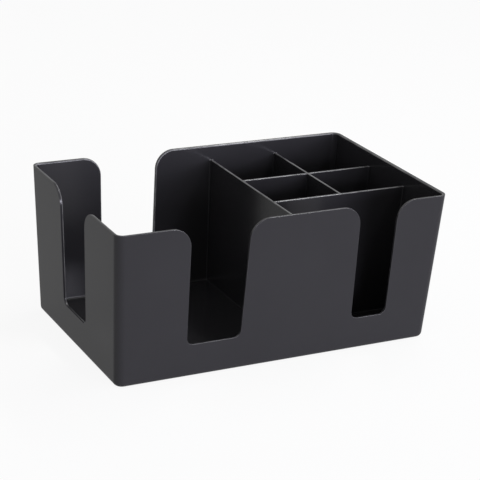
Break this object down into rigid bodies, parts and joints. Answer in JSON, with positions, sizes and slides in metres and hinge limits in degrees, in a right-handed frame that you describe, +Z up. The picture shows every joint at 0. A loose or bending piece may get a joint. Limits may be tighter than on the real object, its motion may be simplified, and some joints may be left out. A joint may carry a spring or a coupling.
{
  "type": "bar caddy",
  "caption": "Open-topped bar caddy with a square napkin bay, small cells, a long straw channel and finger notches in its walls.",
  "frame": {"origin": "middle of the footprint, on the surface the caddy stands on", "axes": "+Z up, +X along the long side towards the cells, -Y towards the side with the long channel"},
  "size_m": [0.247, 0.152, 0.108],
  "materials": {
    "body": "satin black, finely grained"
  },
  "bodies": {
    "root": {"tub": "body", "bay_divider": "body", "cell_divider": "body", "channel_divider": "body", "rear_cross_divider": "body", "middle_cross_divider": "body"}
  },
  "joints": []
}
